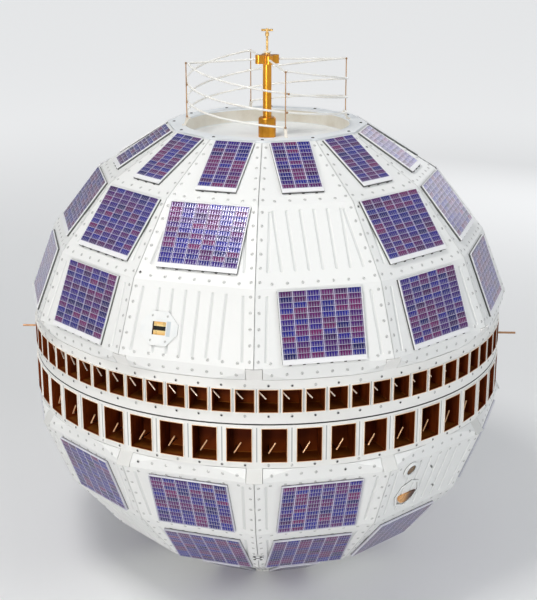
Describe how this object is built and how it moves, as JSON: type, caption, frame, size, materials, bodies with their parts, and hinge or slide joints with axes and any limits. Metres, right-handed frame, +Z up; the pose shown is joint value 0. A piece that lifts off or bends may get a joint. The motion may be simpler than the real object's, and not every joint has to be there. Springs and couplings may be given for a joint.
{
  "type": "faceted spherical communications satellite",
  "caption": "White faceted ball satellite with solar cell panels, belts of square antenna ports round its middle and a wire helix on a gold mast.",
  "frame": {"origin": "middle of the bottom ring's underside, on the ball's axis", "axes": "+Z up along the mast, -Y towards the seam that faces the viewer, handling pins on +X and -X"},
  "size_m": [0.954, 0.9036, 0.998],
  "materials": {
    "skin_white": "satin white paint on sheet metal",
    "panel_white": "white panel trays",
    "solar_blue": "glass-covered blue and violet cells",
    "wire_white": "white coated wire",
    "frame_white": "white frames with warm edges",
    "cavity_copper": "dark gold-brown plating",
    "probe_copper": "copper-coloured plating",
    "well_cream": "cream paint",
    "mast_gold": "gold plating",
    "support_tan": "tan insulator",
    "sensor_gold": "gold foil",
    "canister_metal": "bare metal"
  },
  "bodies": {
    "root": {"upper_gore_1": "skin_white", "upper_gore_2": "skin_white", "upper_gore_3": "skin_white", "upper_gore_4": "skin_white", "upper_gore_5": "skin_white", "upper_gore_6": "skin_white", "upper_gore_7": "skin_white", "upper_gore_8": "skin_white", "upper_gore_9": "skin_white", "upper_gore_10": "skin_white", "upper_gore_11": "skin_white", "upper_gore_12": "skin_white", "lower_gore_1": "skin_white", "lower_gore_2": "skin_white", "lower_gore_3": "skin_white", "lower_gore_4": "skin_white", "lower_gore_5": "skin_white", "lower_gore_6": "skin_white", "lower_gore_7": "skin_white", "lower_gore_8": "skin_white", "lower_gore_9": "skin_white", "lower_gore_10": "skin_white", "lower_gore_11": "skin_white", "lower_gore_12": "skin_white", "panel_trays_row_1": "panel_white", "panel_trays_row_2": "panel_white", "panel_trays_row_3": "panel_white", "panel_trays_row_4": "panel_white", "panel_trays_row_5": "panel_white", "panel_trays_row_6": "panel_white", "upper_panel_cells": "solar_blue", "lower_panel_cells": "solar_blue", "helix_wire_1": "wire_white", "helix_wire_2": "wire_white", "helix_wire_3": "wire_white", "helix_wire_4": "wire_white", "upper_belt": "skin_white", "lower_belt": "skin_white", "upper_port_frames": "frame_white", "lower_port_frames": "frame_white", "upper_cavities": "cavity_copper", "lower_cavities": "cavity_copper", "upper_probes": "probe_copper", "lower_probes": "probe_copper", "top_ring": "skin_white", "antenna_well": "well_cream", "mast_base": "mast_gold", "mast_tube": "mast_gold", "mast_hub": "mast_gold", "mast_tip": "mast_gold", "helix_supports": "support_tan", "sensor_plates": "skin_white", "sensor_windows": "sensor_gold", "seam_fitting": "skin_white", "bottom_ring": "skin_white", "bottom_cover": "well_cream", "handling_pins": "probe_copper", "electronics_canister": "canister_metal"}
  },
  "joints": []
}
